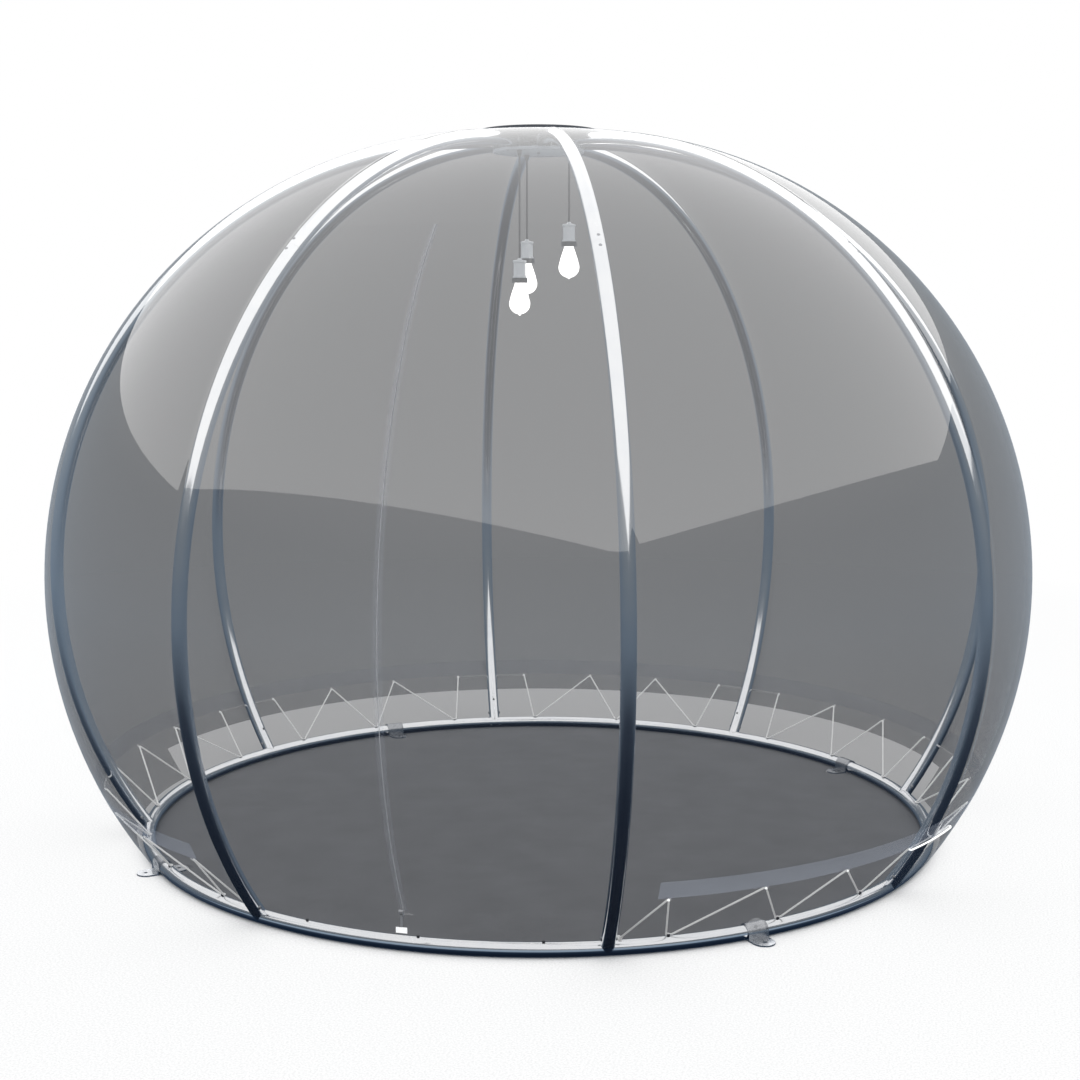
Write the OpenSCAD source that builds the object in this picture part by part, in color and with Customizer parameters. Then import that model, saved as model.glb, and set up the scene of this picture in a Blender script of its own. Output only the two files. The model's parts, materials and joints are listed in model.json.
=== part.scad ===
// Clear-covered garden dome: a bulging tube frame on a round base ring, with a
// laced film cover, a zipped doorway, a groundsheet and three hanging lamps.
// Millimetres, +Z up. The origin is the centre of the base ring on the ground
// and the doorway faces -Y.

/* [Frame tubes] */
// Outer diameter of the base ring tube and the rib tubes
tube_d = 38; // [30:1:48]
// Wall of the tubes
tube_wall = 1.5; // [1.2:0.1:2.5]
// Radius of the base ring, to the middle of its tube
ring_r = 1225; // [1000:5:1400]
// Bending radius of the ribs, to the middle of the tube
rib_r = 1325; // [1180:5:1600]
// Distance from the dome's axis to the centre that a rib is bent about
rib_offset = 155; // [100:5:200]
// Angle above the level at which a lower rib meets its upper rib
joint_angle = 47; // [35:1:55]
// Length of the sleeve inside each tube joint
sleeve_len = 160; // [100:5:200]
// Wall of the sleeves
sleeve_wall = 2; // [1.5:0.5:3]

/* [Base ring brackets] */
// Width of an anchor bracket along the ring
anchor_w = 60; // [50:1:90]
// How far each foot of a bracket reaches past the ring tube
anchor_reach = 55; // [45:1:80]
// Thickness of a bracket's strap and feet
anchor_t = 4; // [3:0.5:6]
// Diameter of the ground pin hole in each foot
anchor_hole_d = 11; // [8:0.5:14]

/* [Crown] */
// Radius of the plate that the ribs are clamped to
hub_r = 140; // [130:1:170]
// Depth of the plate's rim
hub_rim = 8; // [8:1:40]
// Clearance between neighbouring rib ends under the crown
rib_end_gap = 8; // [4:1:20]
// Radius of the cap over the top of the cover
cap_r = 182; // [165:1:220]

/* [Cover] */
// Thickness of the film
film_t = 1.2; // [0.8:0.1:2]
// Height of the film's lower edge above the middle of the ring tube
skirt_z = 12; // [0:1:40]
// Height of the low vent's upper edge above the middle of the ring tube
vent_z = 110; // [60:1:150]
// Height of the lacing holes above the middle of the ring tube
lace_z = 160; // [120:1:200]
// Height of the hem band
hem_h = 50; // [30:1:80]
// Angle above the level at which the doorway's top lies
door_angle = 49.5; // [35:0.5:55]
// Diameter of the lacing cord
lace_d = 5; // [4:0.5:9]

/* [Lamps] */
// Largest diameter of a bulb
bulb_d = 64; // [50:1:80]
// Diameter of a lampholder
holder_d = 42; // [36:1:50]
// Height of a lampholder above its collar
holder_h = 60; // [50:1:80]
// Diameter of a lamp's cord
lamp_cord_d = 6; // [5:0.5:8]

/* [Hidden] */
gap = 0.3;                       // running clearance between pieces
rib_count = 8;
pitch = 360 / rib_count;         // angle from one rib to the next
door_az = -90;
anchor_az = -48.5;              // first ring joint; the others follow at quarter turns
first_rib = door_az + pitch / 2; // rib 1 stands right of the doorway
tube_r = tube_d / 2;
bore_r = tube_r - tube_wall;
ring_z = tube_r;
rib_z = ring_z + sqrt(pow(rib_r, 2) - pow(ring_r - rib_offset, 2));
foot_angle = -asin((rib_z - ring_z) / rib_r);
rib_end_r = (tube_d + rib_end_gap) / 2 / sin(pitch / 2);
end_angle = 90 + asin((rib_offset - rib_end_r) / rib_r);
big_fn = 360;

// Screws
screw_d = 5;
head_d = 9;
head_h = 2.4;
hole_slack = 0.4;                // added to a screw's diameter for its hole
cross_d = 6;
cross_head_d = 12;
cross_head_h = 4;
joint_screw_step = 19;           // along the rib, from the joint to each screw
cross_step = 40;                 // along the rib, from the ring to the cross screw
button_step = 89;                // along the rib, from the ring to the latch hole
button_d = 8;
pin_angle = 205;                 // place of the small foot screws round the ring tube
pin_step = 17;                   // along the ring, from the rib to each small screw
pin_d = 4.5;
pin_head_d = 8;
pin_head_h = 2;
spigot_len = 70;

// Cover
film_in = rib_r + tube_r + head_h + gap;
film_out = film_in + film_t;
seam = 0.8;                      // gap between panels where they meet on a rib
crown_hole_r = 8;
vent_from = 19.5;                // the low vent runs round the back of the cover
vent_to = 178.5;
zip_w = 10;                      // width of one zip tape
tape_t = 0.8;
zip_foot_z = 125;
door_seam = seam / 2;
door_top = rib_z + film_out * sin(door_angle);

// Lacing
lace_r = lace_d / 2;
stud_d = 8;
stud_h = 4;
lace_hole_d = lace_d + 6;
stud_pitch = 15;                 // angle between studs
top_pitch = pitch / 4;           // angle between lacing holes
laced = [for (i = [0:rib_count - 2]) door_az + pitch * (i + 1)];
lace_angle = asin((lace_z + ring_z - rib_z) / film_in);
band_over = 1.3;                 // angle by which the hem band passes the last holes
band_half = 180 - pitch / 2 - top_pitch / 2 + band_over;

// Crown
rib_top_z = rib_z + rib_r;
plate_z = rib_z + rib_r * sin(end_angle) - tube_r - gap;
plate_t = 6;
clamp_len = 24;
clamp_t = 2.5;
clamp_reach = 18;
clamp_side = 2;                  // clearance between neighbouring clamps
clamp_r = clamp_len / 2 + (tube_r + clamp_t + clamp_reach + clamp_side) / tan(pitch / 2);
post_r = 12;
crown_z = rib_z + film_in;
cap_t = 4;                       // the crown cap's wall
cap_h = 12;
cap_boss_r = 20;
bolt_r = 5;
bolt_head_r = 13;
bolt_head_h = 5;

// Lamps: the place of each one under the crown, and its cord's own points
grip_len = 18;
exit_z = floor(plate_z - plate_t - grip_len);
lamp_xy = [[94, 12], [-57, 76], [-37, -87]];
cord_drop = [192, 240, 304];
cord_steps = 16;
lamp_routes = [for (i = [0:2]) [for (k = [0:cord_steps])
    [lamp_xy[i][0], lamp_xy[i][1], exit_z - cord_drop[i] * k / cord_steps]]];
grip_r = 9;
swing_gap = 0.9;                 // between a grip and its cord, which swings
bulb_wall = 1.2;
collar_d = 48;
collar_h = 15;
bulb_h = 99;
bulb_low = 36;                   // from a bulb's tip up to its widest place
neck_r = 15;
socket_depth = 24;

// Zip slider and its pull
slider_w = 11;
slider_h = 18;
slider_t = 6;
slider_grip = 4;                 // length of zip tape that lies under the slider
slider_angle = asin((zip_foot_z + ring_z - rib_z) / film_out)
    - (slider_h / 2 - slider_grip) / film_out * 180 / PI;
pull_drop = 46;
tab_w = 29;
tab_h = 14;
tab_t = 2;
link_w = 5;

function rib_az(i) = first_rib - pitch * (i - 1);
// A point at a distance rho from a rib's bending centre, at angle th and azimuth az
function on_arc(rho, th, az) = [
    (rib_offset + rho * cos(th)) * cos(az),
    (rib_offset + rho * cos(th)) * sin(az),
    rib_z + rho * sin(th)];
function unit(v) = v / norm(v);
function step_angle(len) = len / rib_r * 180 / PI;

// Places children on a rib's arc, with +X along the arc's outward radius
module at_rib(i, th) {
    rotate([0, 0, rib_az(i)]) translate([rib_offset, 0, rib_z]) rotate([0, -th, 0]) children();
}

// A bent round bar or tube in the plane of rib i
module bent(i, from, to, r_out, r_in = 0) {
    rotate([0, 0, rib_az(i)]) translate([rib_offset, 0, rib_z]) rotate([90, 0, 0])
        rotate_extrude(angle = to - from, start = from, $fn = big_fn)
            translate([rib_r, 0]) difference() {
                circle(r = r_out, $fn = 48);
                if (r_in > 0) circle(r = r_in, $fn = 48);
            }
}

// A round bar or tube that follows the base ring
module ring_bar(from, to, r_out, r_in = 0) {
    rotate_extrude(angle = to - from, start = from, $fn = big_fn)
        translate([ring_r, ring_z]) difference() {
            circle(r = r_out, $fn = 48);
            if (r_in > 0) circle(r = r_in, $fn = 48);
        }
}

// Places children at the small screws that hold the foot of rib i to the ring
module at_pins(i) {
    for (side = [-1, 1])
        rotate([0, 0, rib_az(i) + side * asin(pin_step / ring_r)]) translate([ring_r, 0, ring_z])
            rotate([0, -pin_angle, 0]) children();
}

module ring_segment(k) {
    from = anchor_az + 90 * k;
    butt = gap / 2 / ring_r * 180 / PI;
    color("gainsboro") difference() {
        ring_bar(from + butt, from + 90 - butt, tube_r, bore_r);
        for (i = [1:rib_count]) at_pins(i)
            rotate([0, 90, 0]) cylinder(d = pin_d + hole_slack, h = tube_r + 5, $fn = 24);
    }
}

module anchor(k) {
    az = anchor_az + 90 * k;
    strap_in = tube_r + gap;
    strap_out = strap_in + anchor_t;
    half = anchor_w / 2 / ring_r * 180 / PI;
    reach = tube_r + anchor_reach;
    color("silver") difference() {
        union() {
            rotate_extrude(angle = 2 * half, start = az - half, $fn = big_fn)
                translate([ring_r, ring_z]) difference() {
                    union() {
                        circle(r = strap_out, $fn = 48);
                        translate([-strap_out, -ring_z]) square([2 * strap_out, ring_z]);
                    }
                    circle(r = strap_in, $fn = 48);
                    translate([-strap_in, -ring_z - 1]) square([2 * strap_in, ring_z + 1]);
                    translate([-strap_out - 1, -2 * ring_z - strap_out])
                        square([2 * strap_out + 2, ring_z + strap_out]);
                }
            rotate([0, 0, az]) for (side = [-1, 1])
                translate([ring_r, 0, 0]) linear_extrude(anchor_t) union() {
                    translate([side * (reach - anchor_w / 2), 0]) circle(d = anchor_w, $fn = 64);
                    translate([side < 0 ? -reach + anchor_w / 2 : strap_in + 1, -anchor_w / 2])
                        square([reach - anchor_w / 2 - strap_in - 1, anchor_w]);
                }
        }
        rotate([0, 0, az]) for (side = [-1, 1])
            translate([ring_r + side * (reach - anchor_w / 2 + 5), 0, -1])
                cylinder(d = anchor_hole_d, h = anchor_t + 2, $fn = 48);
    }
}

// The bore through a rib's outer wall for the joint screw at a step along the arc
module joint_bore(i, step) {
    at_rib(i, joint_angle + step_angle(step)) translate([rib_r, 0, 0])
        rotate([0, 90, 0]) cylinder(d = screw_d + hole_slack, h = tube_r + 5, $fn = 24);
}

module cross_bore(i) {
    at_rib(i, foot_angle + step_angle(cross_step)) translate([rib_r, 0, 0])
        rotate([90, 0, 0]) cylinder(d = cross_d + hole_slack, h = 3 * tube_d, center = true, $fn = 24);
}

module rib_lower(i) {
    color("gainsboro") difference() {
        bent(i, foot_angle, joint_angle - step_angle(gap / 2), tube_r, bore_r);
        ring_bar(rib_az(i) - 4, rib_az(i) + 4, tube_r + gap);
        joint_bore(i, -joint_screw_step);
        cross_bore(i);
        at_rib(i, foot_angle + step_angle(button_step)) translate([rib_r, 0, 0])
            rotate([0, -90, 0]) cylinder(d = button_d, h = tube_r + 5, $fn = 24);
    }
}

module rib_upper(i) {
    color("gainsboro") difference() {
        bent(i, joint_angle + step_angle(gap / 2), end_angle, tube_r, bore_r);
        joint_bore(i, joint_screw_step);
    }
}

module tube_sleeves() {
    half_ring = sleeve_len / 2 / ring_r * 180 / PI;
    out = bore_r - gap;
    color("dimgray") {
        for (k = [0:3])
            ring_bar(anchor_az + 90 * k - half_ring, anchor_az + 90 * k + half_ring, out, out - sleeve_wall);
        for (i = [1:rib_count]) difference() {
            bent(i, joint_angle - step_angle(sleeve_len / 2), joint_angle + step_angle(sleeve_len / 2),
                out, out - sleeve_wall);
            for (side = [-1, 1]) joint_bore(i, side * joint_screw_step);
        }
    }
}

module foot_spigots() {
    color("dimgray") for (i = [1:rib_count]) difference() {
        bent(i, foot_angle, foot_angle + step_angle(spigot_len), bore_r - gap);
        ring_bar(rib_az(i) - 4, rib_az(i) + 4, tube_r + gap);
        cross_bore(i);
    }
}

// A domed screw head on the outside of a tube, with +X pointing out of it
module domed_head(d, h) {
    rotate([0, 90, 0]) rotate_extrude($fn = 32) intersection() {
        translate([0, h - dome_radius(d, h)]) circle(r = dome_radius(d, h), $fn = 96);
        square([d / 2, h]);
    }
}
function dome_radius(d, h) = (pow(d / 2, 2) + pow(h, 2)) / (2 * h);

module rib_screws() {
    color("white") for (i = [1:rib_count]) {
        for (side = [-1, 1]) at_rib(i, joint_angle + step_angle(side * joint_screw_step))
            translate([rib_r + tube_r, 0, 0]) {
                domed_head(head_d, head_h);
                rotate([0, -90, 0]) cylinder(d = screw_d, h = 9, $fn = 24);
            }
        at_rib(i, foot_angle + step_angle(cross_step)) translate([rib_r, 0, 0]) {
            rotate([90, 0, 0]) cylinder(d = cross_d, h = 2 * tube_r + 2, center = true, $fn = 24);
            for (side = [-1, 1]) translate([0, side * (tube_r + 0.1), 0])
                rotate([0, 0, side * 90]) domed_head(cross_head_d, cross_head_h);
        }
        at_pins(i) {
            translate([tube_r + 0.1, 0, 0]) domed_head(pin_head_d, pin_head_h);
            translate([tube_r + 1, 0, 0]) rotate([0, -90, 0]) cylinder(d = pin_d, h = 7, $fn = 24);
        }
    }
}

module hub_plate() {
    color("slategray") difference() {
        translate([0, 0, plate_z - hub_rim]) cylinder(r = hub_r, h = hub_rim, $fn = 128);
        translate([0, 0, plate_z - hub_rim - 1])
            cylinder(r = hub_r - plate_t, h = hub_rim - plate_t + 1, $fn = 128);
        at_clamp_screws() translate([0, 0, -plate_t - 1])
            cylinder(d = screw_d + hole_slack, h = plate_t + 2, $fn = 24);
        translate([0, 0, plate_z - plate_t - 1])
            cylinder(r = bolt_r + hole_slack / 2, h = plate_t + 2, $fn = 32);
        for (p = lamp_xy) translate([p[0], p[1], plate_z - plate_t - 1])
            cylinder(r = bolt_r + gap, h = plate_t + 2, $fn = 32);
    }
}

// Places children on the plate at every clamp screw
module at_clamp_screws() {
    for (i = [1:rib_count], side = [-1, 1])
        rotate([0, 0, rib_az(i)])
            translate([clamp_r, side * (tube_r + clamp_t + clamp_reach / 2 + 1), plate_z]) children();
}

module hub_clamps() {
    seat = rib_z + sqrt(pow(rib_r, 2) - pow(rib_offset - clamp_r, 2)) - plate_z;
    arch_in = tube_r + gap + clamp_len / 2 * sin(asin((rib_offset - clamp_r) / rib_r));
    arch_out = arch_in + clamp_t;
    wide = arch_out + clamp_reach;
    color("silver") for (i = [1:rib_count]) difference() {
        rotate([0, 0, rib_az(i)]) translate([clamp_r + clamp_len / 2, 0, plate_z])
            rotate([90, 0, -90]) linear_extrude(clamp_len) difference() {
                union() {
                    translate([0, seat]) circle(r = arch_out, $fn = 64);
                    translate([-arch_out, 0]) square([2 * arch_out, seat]);
                    translate([-wide, gap]) square([2 * wide, clamp_t]);
                }
                translate([0, seat]) circle(r = arch_in, $fn = 64);
                translate([-arch_in, -seat]) square([2 * arch_in, 2 * seat]);
                translate([-wide - 1, -wide]) square([2 * wide + 2, wide + gap]);
            }
        at_clamp_screws() translate([0, 0, -1])
            cylinder(d = screw_d + hole_slack, h = clamp_t + 4, $fn = 24);
    }
}

module hub_screws() {
    color("white") {
        at_clamp_screws() translate([0, 0, gap + clamp_t + 0.1]) {
            rotate([0, -90, 0]) domed_head(head_d, head_h);
            translate([0, 0, -plate_t - clamp_t - 2])
                cylinder(d = screw_d, h = plate_t + clamp_t + 2.5, $fn = 24);
        }
        translate([0, 0, crown_z + film_t + gap + cap_h + 0.1])
            rotate([0, -90, 0]) domed_head(2 * bolt_head_r, bolt_head_h);
        translate([0, 0, plate_z - plate_t - 6])
            cylinder(r = bolt_r, h = crown_z + film_t + gap + cap_h - plate_z + plate_t + 7, $fn = 32);
    }
}

module hub_post() {
    color("silver") difference() {
        translate([0, 0, plate_z + gap]) cylinder(r = post_r, h = crown_z - plate_z - 2 * gap, $fn = 48);
        translate([0, 0, plate_z]) cylinder(r = bolt_r + hole_slack / 2, h = crown_z - plate_z, $fn = 32);
    }
}

module crown_cap() {
    color([0.12, 0.13, 0.15]) difference() {
        translate([0, 0, crown_z + film_t + gap]) cylinder(r = cap_r, h = cap_h, $fn = 128);
        // hollow from below, round the boss that the bolt goes through
        translate([0, 0, crown_z]) difference() {
            cylinder(r = cap_r - cap_t, h = film_t + gap + cap_h - cap_t, $fn = 128);
            cylinder(r = cap_boss_r, h = cap_h, $fn = 48);
        }
        translate([0, 0, crown_z]) cylinder(r = bolt_r + hole_slack / 2, h = 2 * cap_h, $fn = 32);
    }
}

// Outline of a strip of cover between two distances from the bending centre and two heights
module strip(rho_in, rho_out, low, high) {
    intersection() {
        translate([rib_offset, rib_z]) difference() {
            circle(r = rho_out, $fn = big_fn);
            circle(r = rho_in, $fn = big_fn);
        }
        translate([rib_offset, low]) square([2 * rib_r, high - low]);
    }
}

// A stretch of film round the dome's axis, between two azimuths and two heights
module film(from, to, low, high) {
    rotate_extrude(angle = to - from, start = from, $fn = big_fn) strip(film_in, film_out, low, high);
}

// A wedge of film from its lower edge to the crown; panel 1 is the short one above the doorway
module cover_panel(k) {
    middle = door_az - pitch * (k - 1);
    edge = seam / 2 / film_in * 180 / PI;
    from = middle - pitch / 2 + edge;
    to = middle + pitch / 2 - edge;
    low = k == 1 ? door_top + door_seam : ring_z + skirt_z;
    color([0.75, 0.78, 0.8, 0.35]) difference() {
        rotate_extrude(angle = to - from, start = from, $fn = big_fn) {
            strip(film_in, film_out, low, 2 * rib_r);
            translate([crown_hole_r, crown_z]) square([rib_offset - crown_hole_r + 0.01, film_t]);
        }
        if (k > 1) {
            // the low vent, cut out of the panels round the back
            rotate_extrude(angle = vent_to - vent_from, start = vent_from, $fn = big_fn)
                translate([ring_r - 100, 0]) square([400, ring_z + vent_z]);
            for (side = [-1, 1]) rotate([0, 0, middle + side * 1.5 * top_pitch])
                translate([rib_offset, 0, rib_z]) rotate([0, -lace_angle, 0])
                    translate([film_in - 10, 0, 0]) rotate([0, 90, 0])
                        cylinder(d = lace_hole_d, h = 20, $fn = 32);
        }
    }
}

// side -1 is the leaf on rib 2's side, +1 the leaf on rib 1's side
module door_leaf(side) {
    edge = seam / 2 / film_in * 180 / PI;
    from = side < 0 ? door_az - pitch / 2 + edge : door_az + edge;
    color([0.75, 0.78, 0.8, 0.35])
        film(from, from + pitch / 2 - 2 * edge, ring_z + skirt_z, door_top - door_seam);
}

module zip_tape(side) {
    wide = zip_w / film_out * 180 / PI;
    edge = seam / 2 / film_in * 180 / PI;
    color("dimgray")
        rotate_extrude(angle = wide, start = side < 0 ? door_az - edge - wide : door_az + edge, $fn = big_fn)
            strip(film_out + 0.2, film_out + 0.2 + tape_t, ring_z + zip_foot_z, door_top - 2);
}

// Places children on the zip's lower end, with +X out of the film and +Z up it
module at_slider() {
    rotate([0, 0, door_az]) translate([rib_offset, 0, rib_z]) rotate([0, -slider_angle, 0])
        translate([film_out + 0.2 + tape_t + gap, 0, 0]) children();
}

// Places children at the pull's pivot in the slider, with +X level and +Z upright
module at_pull() {
    at_slider() translate([slider_t - 1.5, 0, -slider_h / 2 + 4]) rotate([0, slider_angle, 0]) children();
}

module zip_slider() {
    color([0.2, 0.2, 0.22]) at_slider() difference() {
        translate([0, -slider_w - 1, -slider_h / 2]) cube([slider_t, slider_w, slider_h]);
        // the slot that the pull's link turns in
        translate([slider_t - 3.6, -slider_w / 2 - 1 - link_w / 2 - gap, -slider_h / 2 - 1])
            cube([4, link_w + 2 * gap, slider_h / 2 + 2]);
    }
}

module zip_pull() {
    middle = -slider_w / 2 - 1;
    color("white") at_pull() {
        translate([-tab_t / 2, middle - link_w / 2, -pull_drop + tab_h])
            cube([tab_t, link_w, pull_drop - tab_h]);
        translate([-tab_t / 2, middle - tab_w / 2, -pull_drop]) cube([tab_t, tab_w, tab_h + 0.01]);
    }
}

module hem_band() {
    color([0.7, 0.74, 0.8, 0.5])
        rotate_extrude(angle = 2 * band_half, start = door_az + 180 - band_half, $fn = big_fn)
            strip(film_out + 0.2, film_out + 0.2 + tape_t, ring_z + lace_z + lace_r + 2.5,
                ring_z + lace_z + lace_r + 2.5 + hem_h);
}

// Studs on top of the ring for the lacing, with two bare ones at the doorway
module cord_studs() {
    color([0.1, 0.1, 0.12]) for (az = [-105:stud_pitch:240])
        rotate([0, 0, az]) translate([ring_r, 0, ring_z + tube_r + 0.1])
            cylinder(d = stud_d, h = stud_h, $fn = 24);
}

// Lacing: from rib 1's foot round the back to rib 2's foot. Each panel has four
// holes and three studs, and the cord crosses each rib outside the film.
lace_low = tube_r + 0.1 + stud_h + lace_r + 0.2;
tie_r = cross_head_h + tube_r + lace_r + 1.5;
function stud_point(az) = [ring_r * cos(az), ring_r * sin(az), ring_z + lace_low];
function inner_point(az) = on_arc(film_in - lace_r - 0.5, lace_angle, az);
function outer_point(az) = on_arc(film_out + lace_r + 0.8, lace_angle, az);
function tie_point(az, side) =
    let (p = on_arc(rib_r, foot_angle + step_angle(cross_step), az))
    p + side * tie_r * [-sin(az), cos(az), 0];
function laced_panel(c) = [
    inner_point(c - 1.5 * top_pitch), stud_point(c - stud_pitch),
    inner_point(c - 0.5 * top_pitch), stud_point(c), inner_point(c + 0.5 * top_pitch),
    stud_point(c + stud_pitch), inner_point(c + 1.5 * top_pitch)];
function over_rib(c) = [
    for (n = [1.5:0.25:2.5]) outer_point(c + n * top_pitch)];
lace_route = concat([tie_point(first_rib, 1)],
    [for (n = [0:len(laced) - 1]) each
        concat(laced_panel(laced[n]), n < len(laced) - 1 ? over_rib(laced[n]) : [])],
    [tie_point(rib_az(2), -1)]);

// A round cord swept along its points, with its ring of corners turned to face out of the dome
module cord(route, r, sides) {
    n = len(route);
    function along(i) = unit(
        (i < n - 1 ? unit(route[i + 1] - route[i]) : [0, 0, 0]) +
        (i > 0 ? unit(route[i] - route[i - 1]) : [0, 0, 0]));
    function facing(i) = unit([route[i][0], route[i][1], 0.3 * norm(route[i])]);
    function side_of(i) = unit(cross(along(i), facing(i)));
    function corner(i, k) = route[i]
        + r * cos(360 * k / sides) * side_of(i)
        + r * sin(360 * k / sides) * unit(cross(side_of(i), along(i)));
    points = [for (i = [0:n - 1], k = [0:sides - 1]) corner(i, k)];
    walls = [for (i = [0:n - 2], k = [0:sides - 1]) let (m = (k + 1) % sides)
        [i * sides + k, i * sides + m, (i + 1) * sides + m, (i + 1) * sides + k]];
    first = [for (k = [sides - 1:-1:0]) k];
    last = [for (k = [0:sides - 1]) (n - 1) * sides + k];
    polyhedron(points = points, faces = concat([first], walls, [last]), convexity = 10);
}

module lacing_cord() { color("white") cord(lace_route, lace_r, 8); }

module groundsheet() {
    foot_gap = 4;
    // the sheet's edge is tucked in under the ring tube
    tuck = sqrt(pow(tube_r, 2) - pow(tube_r - film_t, 2)) + gap;
    color([0.2, 0.21, 0.23]) linear_extrude(film_t) difference() {
        circle(r = ring_r - tuck, $fn = big_fn);
        for (k = [0:3]) rotate(anchor_az + 90 * k) {
            translate([ring_r - tube_r - anchor_reach + anchor_w / 2, 0])
                circle(d = anchor_w + 2 * foot_gap, $fn = 64);
            translate([ring_r - tube_r - anchor_reach + anchor_w / 2, -anchor_w / 2 - foot_gap])
                square([2 * anchor_w, anchor_w + 2 * foot_gap]);
        }
    }
}

// Grips in the crown plate that the lamp cords leave through
module cord_grips() {
    color([0.15, 0.15, 0.16]) for (p = lamp_xy) translate([p[0], p[1], 0]) {
        top = plate_z - plate_t - gap;
        translate([0, 0, exit_z + swing_gap])
            cylinder(r1 = lamp_cord_d / 2 + 1, r2 = grip_r, h = top - exit_z - swing_gap, $fn = 48);
        translate([0, 0, top - 0.01]) cylinder(r = bolt_r, h = plate_t, $fn = 32);
    }
}

module pendant_cord(n) { color("dimgray") cord(lamp_routes[n - 1], lamp_cord_d / 2, 10); }

// Places children under the end of lamp n's cord
module at_lamp(n) {
    translate([lamp_xy[n - 1][0], lamp_xy[n - 1][1], exit_z - cord_drop[n - 1]]) children();
}

module lampholder(n) {
    shoulder = 8;
    flange_h = 5;
    body_r = holder_d / 2 - 2.5;
    low = holder_h + collar_h;
    color("lightgray") at_lamp(n) rotate_extrude($fn = 96) polygon([
        [0, 0], [lamp_cord_d / 2 + 2, 0], [lamp_cord_d / 2 + 4, -5], [body_r, -shoulder + 1],
        [holder_d / 2, -shoulder], [holder_d / 2, -shoulder - flange_h],
        [body_r, -shoulder - flange_h - 1], [body_r, -holder_h + flange_h + 1],
        [holder_d / 2, -holder_h + flange_h], [holder_d / 2, -holder_h],
        [collar_d / 2, -holder_h], [collar_d / 2, -low],
        [neck_r + gap, -low], [neck_r + gap, -low + socket_depth], [0, -low + socket_depth]]);
}

// Half outline of a bulb that is t thinner than the full size, hanging from its collar at z = 0
module bulb_outline(t) {
    bulb_r = bulb_d / 2;
    ball_z = bulb_low - bulb_h;
    intersection() {
        union() {
            translate([0, ball_z]) circle(r = bulb_r - t, $fn = 96);
            polygon([[0, ball_z], [(bulb_r - t) * cos(20), ball_z + (bulb_r - t) * sin(20)],
                [bulb_r - 6 - t, ball_z + 27], [neck_r + 5 - t, -18], [neck_r - t, -4],
                [neck_r - t, socket_depth - gap + t], [0, socket_depth - gap + t]]);
            if (t == 0) translate([0, 4 - bulb_h]) circle(r = 4, $fn = 48);
        }
        translate([0, -bulb_h]) square([bulb_r, bulb_h + socket_depth - gap + t]);
    }
}

module bulb(n) {
    color("white") at_lamp(n) translate([0, 0, -holder_h - collar_h]) rotate_extrude($fn = 96) difference() {
        bulb_outline(0);
        bulb_outline(bulb_wall);
    }
}

ring_segment(0);  // ring_segment_1
ring_segment(1);  // ring_segment_2
ring_segment(2);  // ring_segment_3
ring_segment(3);  // ring_segment_4
anchor(0);  // anchor_1
anchor(1);  // anchor_2
anchor(2);  // anchor_3
anchor(3);  // anchor_4
rib_lower(1);  // rib_lower_1
rib_lower(2);  // rib_lower_2
rib_lower(3);  // rib_lower_3
rib_lower(4);  // rib_lower_4
rib_lower(5);  // rib_lower_5
rib_lower(6);  // rib_lower_6
rib_lower(7);  // rib_lower_7
rib_lower(8);  // rib_lower_8
rib_upper(1);  // rib_upper_1
rib_upper(2);  // rib_upper_2
rib_upper(3);  // rib_upper_3
rib_upper(4);  // rib_upper_4
rib_upper(5);  // rib_upper_5
rib_upper(6);  // rib_upper_6
rib_upper(7);  // rib_upper_7
rib_upper(8);  // rib_upper_8
tube_sleeves();
foot_spigots();
rib_screws();
hub_plate();
hub_clamps();
hub_screws();
hub_post();
crown_cap();
cover_panel(1);  // cover_panel_1
cover_panel(2);  // cover_panel_2
cover_panel(3);  // cover_panel_3
cover_panel(4);  // cover_panel_4
cover_panel(5);  // cover_panel_5
cover_panel(6);  // cover_panel_6
cover_panel(7);  // cover_panel_7
cover_panel(8);  // cover_panel_8
door_leaf(-1);  // door_left
door_leaf(1);  // door_right
zip_tape(-1);  // zip_tape_left
zip_tape(1);  // zip_tape_right
zip_slider();
zip_pull();
hem_band();
cord_studs();
lacing_cord();
groundsheet();
cord_grips();
pendant_cord(1);  // pendant_cord_1
pendant_cord(2);  // pendant_cord_2
pendant_cord(3);  // pendant_cord_3
lampholder(1);  // lampholder_1
lampholder(2);  // lampholder_2
lampholder(3);  // lampholder_3
bulb(1);  // bulb_1
bulb(2);  // bulb_2
bulb(3);  // bulb_3
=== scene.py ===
"""Looks of a clear-covered garden dome: smoked film over a polished tube frame,
laced to its base ring, with a zipped doorway, a groundsheet and three lamps."""

import json
import math

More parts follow.
